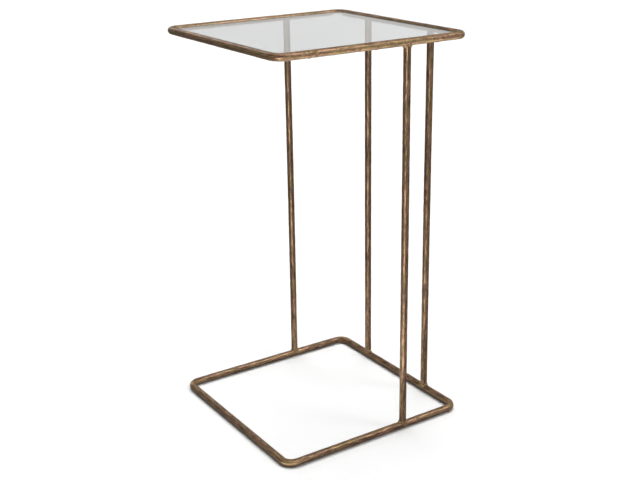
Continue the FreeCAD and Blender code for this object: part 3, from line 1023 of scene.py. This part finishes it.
# %% [markdown]
# ## Glass
# A Principled shader with full transmission is glass: it bends and mirrors light by its index.
# The pane is very lightly tinted grey-green, and a few faint smears take the perfect polish
# off it. Its ground edge, told by the attribute kept on the faces, is rougher and greener.
# Half of what the edge does is plain scattering, as in frosted glass: light bent inside the
# pane's edge is turned over more times than a render follows, and would come out black.
#
# Light on its way to the floor would be stopped by a bending shader, which leaves a black
# shadow, so for shadow and diffuse rays the pane is simply see-through.

# %% Glass material
PANE_TINT = (0.915, 0.94, 0.925)
PANE_SHADOW = (0.95, 0.965, 0.955)
GLASS_INDEX = 1.5
SMEAR_SCALE = 38.0
SMEAR_EDGES = (0.45, 0.75)
SMEAR_ROUGHNESS = 0.02
EDGE_GREEN = (0.42, 0.56, 0.49)
EDGE_ROUGHNESS = 0.22
EDGE_FROST = 0.5


def make_glass_material():
    """Tinted glass that lets shadow and diffuse rays go straight through."""
    material, tree, shader = new_material("tinted_float_glass")
    edge = add_node(tree, "ShaderNodeAttribute", {}, attribute_name="ground_edge").outputs["Fac"]
    object_place = tree.nodes.new("ShaderNodeTexCoord").outputs["Object"]
    smear_noise = noise(tree, object_place, SMEAR_SCALE, detail=3.0)
    smears = between(tree, smear_noise, *SMEAR_EDGES, 0.0, SMEAR_ROUGHNESS)
    put(shader.inputs["Base Color"], mix_colours(tree, edge, PANE_TINT, EDGE_GREEN))
    put(shader.inputs["Roughness"], linear(tree, smears, EDGE_ROUGHNESS, edge))
    put(shader.inputs["Transmission Weight"], 1.0)
    put(shader.inputs["IOR"], GLASS_INDEX)
    frost = add_node(tree, "ShaderNodeBsdfDiffuse", {"Color": EDGE_GREEN}).outputs[0]
    frosting = math_node(tree, "MULTIPLY", edge, EDGE_FROST)
    pane = add_node(tree, "ShaderNodeMixShader",
                    {0: frosting, 1: shader.outputs[0], 2: frost}).outputs[0]
    rays = tree.nodes.new("ShaderNodeLightPath").outputs
    straight = math_node(tree, "MAXIMUM", rays["Is Shadow Ray"], rays["Is Diffuse Ray"])
    clear = add_node(tree, "ShaderNodeBsdfTransparent", {"Color": PANE_SHADOW}).outputs[0]
    mix = add_node(tree, "ShaderNodeMixShader", {0: straight, 1: pane, 2: clear}).outputs[0]
    put(tree.nodes["Material Output"].inputs["Surface"], mix)
    return material


glass_pane.data.materials.append(make_glass_material())
print("glass in", glass_pane.name)

# %% [markdown]
# ## Clear soft plastic
# Domes and pads are cast in clear soft plastic, which is never as clear as glass: the surface
# is slightly rough and wavy, and the colour goes a little milky. One function makes both, so
# the domes, which nobody touches, are clearer than the pads, which the floor has scuffed.

# %% Soft clear plastic
MILKY = (0.97, 0.97, 0.96)
RIPPLE_SCALE = 900.0
RIPPLE_EDGES = (0.3, 0.7)
RIPPLE_ROUGHNESS = 0.12
RIPPLE_STRENGTH = 0.3
RIPPLE_DEPTH = 0.1 * MM
PLASTIC_CLEARNESS = 0.9
PLASTIC_INDEX = 1.42


def make_soft_clear(name, tint, roughness):
    """See-through plastic with a faint uneven skin."""
    material, tree, shader = new_material(name)
    object_place = tree.nodes.new("ShaderNodeTexCoord").outputs["Object"]
    ripples = noise(tree, object_place, RIPPLE_SCALE, detail=2.0)
    rippled = between(tree, ripples, *RIPPLE_EDGES, roughness, roughness + RIPPLE_ROUGHNESS)
    put(shader.inputs["Base Color"], mix_colours(tree, ripples, tint, MILKY))
    put(shader.inputs["Roughness"], rippled)
    put(shader.inputs["Transmission Weight"], PLASTIC_CLEARNESS)
    put(shader.inputs["IOR"], PLASTIC_INDEX)
    bump = add_node(tree, "ShaderNodeBump", {"Height": ripples, "Strength": RIPPLE_STRENGTH,
                                             "Distance": RIPPLE_DEPTH})
    put(shader.inputs["Normal"], bump.outputs["Normal"])
    return material


domes.data.materials.append(make_soft_clear("clear_dome_plastic", (0.86, 0.87, 0.86), 0.08))
pads.data.materials.append(make_soft_clear("clear_pad_plastic", (0.80, 0.80, 0.78), 0.2))

# %% [markdown]
# ## Floor
# The table stands on a plain pale floor that runs out of sight. Its colour depends on the ray
# that meets it. The camera sees it nearly white, and a step darker through glass. To all other
# light it is a plain pale grey, so that the rods aren't lit from below more than in a studio.
# The white is the floor's own colour under the lamps and not a glow, so the shadow stays.
#
# Round rods mirror a lot of floor, and a floor that is the same all over makes them look dull.
# In gloss it carries a painted pool of light, brightest around the table and dim far away, and a
# faint painted glow all over.

# %% Floor
FLOOR_SIZE = 60.0
FLOOR_SEEN = (0.98, 0.98, 0.98)
FLOOR_THROUGH_GLASS = (0.595, 0.595, 0.595)
FLOOR_BOUNCE = (0.60, 0.60, 0.595)
# Painted light, seen only in gloss: a pool of light around the table that fades out, and a glow
# all over.
FLOOR_NEAR_IN_GLOSS = (0.36, 0.36, 0.355)
FLOOR_FAR_IN_GLOSS = (0.10, 0.10, 0.098)
FLOOR_NEAR_REACH = 0.32
FLOOR_FAR_REACH = 0.75
FLOOR_GLOW_IN_GLOSS = 0.115
FLOOR_ROUGHNESS = 0.9


def by_ray(tree, plain, glossy, through, seen):
    """One of four colours, by the ray that looks: any other, mirrored, refracted, camera's."""
    rays = tree.nodes.new("ShaderNodeLightPath").outputs
    colour = mix_colours(tree, rays["Is Glossy Ray"], plain, glossy)
    colour = mix_colours(tree, rays["Is Transmission Ray"], colour, through)
    return mix_colours(tree, rays["Is Camera Ray"], colour, seen)


def make_floor():
    """A flat square that is stage, not part of the table."""
    mesh = bpy.data.meshes.new("floor")
    corners = np.array([[-1, -1, 0], [1, -1, 0], [1, 1, 0], [-1, 1, 0]]) * FLOOR_SIZE / 2
    mesh.from_pydata(corners.tolist(), [], [[0, 1, 2, 3]])
    floor = bpy.data.objects.new("floor", mesh)
    bpy.context.scene.collection.objects.link(floor)
    material, tree, shader = new_material("pale_floor")
    floor_place = tree.nodes.new("ShaderNodeTexCoord").outputs["Object"]
    away = add_node(tree, "ShaderNodeVectorMath", {0: floor_place}, operation="LENGTH")
    distant = between(tree, away.outputs["Value"], FLOOR_NEAR_REACH, FLOOR_FAR_REACH)
    in_gloss = mix_colours(tree, distant, FLOOR_NEAR_IN_GLOSS, FLOOR_FAR_IN_GLOSS)
    colour = by_ray(tree, FLOOR_BOUNCE, in_gloss, FLOOR_THROUGH_GLASS, FLOOR_SEEN)
    put(shader.inputs["Base Color"], colour)
    put(shader.inputs["Roughness"], FLOOR_ROUGHNESS)
    put(shader.inputs["Specular IOR Level"], 0.0)
    mirrored = tree.nodes.new("ShaderNodeLightPath").outputs["Is Glossy Ray"]
    put(shader.inputs["Emission Color"], (1, 1, 1))
    put(shader.inputs["Emission Strength"],
        math_node(tree, "MULTIPLY", mirrored, FLOOR_GLOW_IN_GLOSS))
    mesh.materials.append(material)
    return floor


floor = make_floor()
print("floor", FLOOR_SIZE, "m square")

# %% [markdown]
# ## Surroundings
# The world is plain soft light from everywhere, and white to the camera. A studio is never
# equally bright all round, and round rods show it. So in gloss the world is a room: dim walls
# on one side of the table go over to bright ones on the other, they lose light above the
# horizon, and the ceiling is bright again.

# %% World
WORLD_AMBIENT = (0.17, 0.17, 0.17)
WORLD_GLOSS_DIM = (0.48, 0.48, 0.48)
WORLD_GLOSS_BRIGHT = (1.02, 1.02, 1.02)
WORLD_THROUGH_GLASS = (0.63, 0.63, 0.63)
WORLD_SEEN = (1, 1, 1)
# Azimuth of the bright side. Heights on the sky's unit sphere: 0 is the horizon, 1 overhead.
BRIGHT_SIDE = 150
WALL_EDGES = (0.15, 0.38)
WALL_SHARE = 0.52
CEILING_EDGES = (0.62, 0.85)
CEILING_EXTRA = 0.68


def direction(azimuth, elevation):
    """Unit vector towards a place in the sky; azimuth 0 is at -Y and 90 at +X, in degrees."""
    turn, rise = math.radians(azimuth), math.radians(elevation)
    level = math.cos(rise)
    return Vector((math.sin(turn) * level, -math.cos(turn) * level, math.sin(rise)))


def make_world():
    """Plain light for matt surfaces; in gloss, a room that is brighter on one side."""
    world = bpy.data.worlds.new("studio")
    bpy.context.scene.world = world
    world.use_nodes = True
    tree = world.node_tree
    looking = tree.nodes.new("ShaderNodeTexCoord").outputs["Generated"]
    towards = add_node(tree, "ShaderNodeVectorMath",
                       {0: looking, 1: tuple(direction(BRIGHT_SIDE, 0))},
                       operation="DOT_PRODUCT").outputs["Value"]
    side = between(tree, towards, -1.0, 1.0)
    walls = mix_colours(tree, side, WORLD_GLOSS_DIM, WORLD_GLOSS_BRIGHT)
    upward = add_node(tree, "ShaderNodeSeparateXYZ", {0: looking}).outputs["Z"]
    wall_share = between(tree, upward, *WALL_EDGES, 1.0, WALL_SHARE)
    ceiling = between(tree, upward, *CEILING_EDGES, 0.0, CEILING_EXTRA)
    share = math_node(tree, "ADD", wall_share, ceiling)
    gloss = mix_colours(tree, 1.0, walls, share, "MULTIPLY")
    colour = by_ray(tree, WORLD_AMBIENT, gloss, WORLD_THROUGH_GLASS, WORLD_SEEN)
    put(tree.nodes["Background"].inputs["Color"], colour)
    print("world", world.name)


make_world()

# %% [markdown]
# ## Studio lamps
# Three wide lamps far away. The overhead one, a little to the back, puts the dark line of
# contact under the rails. It is kept out of gloss and out of the view through glass, where it
# would burn small white spots. The two softboxes pick out the tops of the rails from the
# sides. Lamps and world together light the floor at a level at which a colour looks about as
# it is written.

# %% Lamps
# Name, azimuth, elevation, strength and angular width; azimuth 0 is at -Y and 90 at +X.
LAMPS = (
    ("overhead", 237, 76, 2.5, 45),
    ("right_softbox", 128, 47, 0.66, 18),
    ("left_softbox", 266, 27, 0.25, 18),
)

floor_level = WORLD_AMBIENT[0]
for name, azimuth, elevation, strength, width in LAMPS:
    sun = bpy.data.lights.new(name, "SUN")
    sun.energy = strength
    sun.angle = math.radians(width)
    lamp = bpy.data.objects.new(name, sun)
    bpy.context.scene.collection.objects.link(lamp)
    lamp.rotation_mode = "QUATERNION"
    lamp.rotation_quaternion = direction(azimuth, elevation).to_track_quat("Z", "Y")
    shows = name != "overhead"
    lamp.visible_glossy = shows
    lamp.visible_transmission = shows
    floor_level += strength * math.sin(math.radians(elevation)) / math.pi
print("light on the floor, where 1 shows a colour as it is written:", round(floor_level, 2))

# %% [markdown]
# ## Cards of light
# A rod that stands up mirrors what is level with it or lower, so a high lamp doesn't show in
# it. Six cards of light lie on the floor and shine upwards instead. The front card runs out
# towards the camera, and the far one goes on from it: together they draw the highlight down
# each upright. The back card does the same for the views from behind. The right and the outer
# card brighten the lower half of the rim's right-hand rail, and their light has a narrow
# spread, as from a grid, so that it passes over the uprights. The inner card lights the inner
# sides of the base. The camera sees none of them, not through the glass either.

# %% Cards of light
CARD_HEIGHT = 2 * MM
# Name, shape, middle, width and length, azimuth of the long side, radiance and spread.
CARDS = (
    ("right_card", "ELLIPSE", (0.55, 0.50), (0.90, 0.90), 0, 1.6, 112),
    ("outer_card", "RECTANGLE", (1.22, 0.86), (0.9, 1.0), 125, 4.0, 138),
    ("front_card", "RECTANGLE", (0.81, -0.71), (0.40, 1.66), 46, 2.6, 180),
    ("far_card", "RECTANGLE", (2.48, -2.40), (1.2, 3.0), 46, 8.0, 180),
    ("inner_card", "RECTANGLE", (-0.01, 0.02), (0.28, 0.26), 0, 0.75, 180),
    ("back_card", "RECTANGLE", (-0.81, 0.71), (0.38, 1.66), 46, 1.4, 180),
)
SHARE_OF_RECTANGLE = {"ELLIPSE": math.pi / 4, "RECTANGLE": 1.0}

for name, shape, middle, (width, length), azimuth, radiance, spread in CARDS:
    area = bpy.data.lights.new(name, "AREA")
    area.shape = shape
    area.size = width
    area.size_y = length
    area.spread = math.radians(spread)
    area.energy = radiance * math.pi * width * length * SHARE_OF_RECTANGLE[shape]
    card = bpy.data.objects.new(name, area)
    bpy.context.scene.collection.objects.link(card)
    card.location = (*middle, CARD_HEIGHT)
    card.rotation_euler = (math.pi, 0, math.radians(azimuth))
    card.visible_camera = False
    card.visible_transmission = False
print(len(CARDS), "cards of light")

# %% [markdown]
# ## Camera
# The camera looks from the photograph's side, a little above the glass. Its place and its
# three angles were found by matching the rods' edges in the picture.

# %% Camera
CAMERA_PLACE = (1.4266, -0.9261, 0.9047)
CAMERA_AZIMUTH = 56.79
CAMERA_ELEVATION = 19.53
CAMERA_ROLL = -0.89
SENSOR_WIDTH = 36.0
PHOTO_WIDTH = 640
FOCAL_PIXELS = 1056.08

camera_data = bpy.data.cameras.new("camera")
camera_data.sensor_width = SENSOR_WIDTH
camera_data.lens = FOCAL_PIXELS / PHOTO_WIDTH * SENSOR_WIDTH
camera = bpy.data.objects.new("camera", camera_data)
bpy.context.scene.collection.objects.link(camera)
bpy.context.scene.camera = camera
back = direction(CAMERA_AZIMUTH, CAMERA_ELEVATION)
level_right = Vector((0, 0, 1)).cross(back).normalized()
level_up = back.cross(level_right)
upright_camera = Matrix((level_right, level_up, back)).transposed().to_4x4()
roll = Matrix.Rotation(math.radians(CAMERA_ROLL), 4, "Z")
camera.matrix_world = Matrix.Translation(CAMERA_PLACE) @ upright_camera @ roll
bpy.context.scene.view_settings.view_transform = "Standard"
print("lens", round(camera_data.lens, 1), "mm")
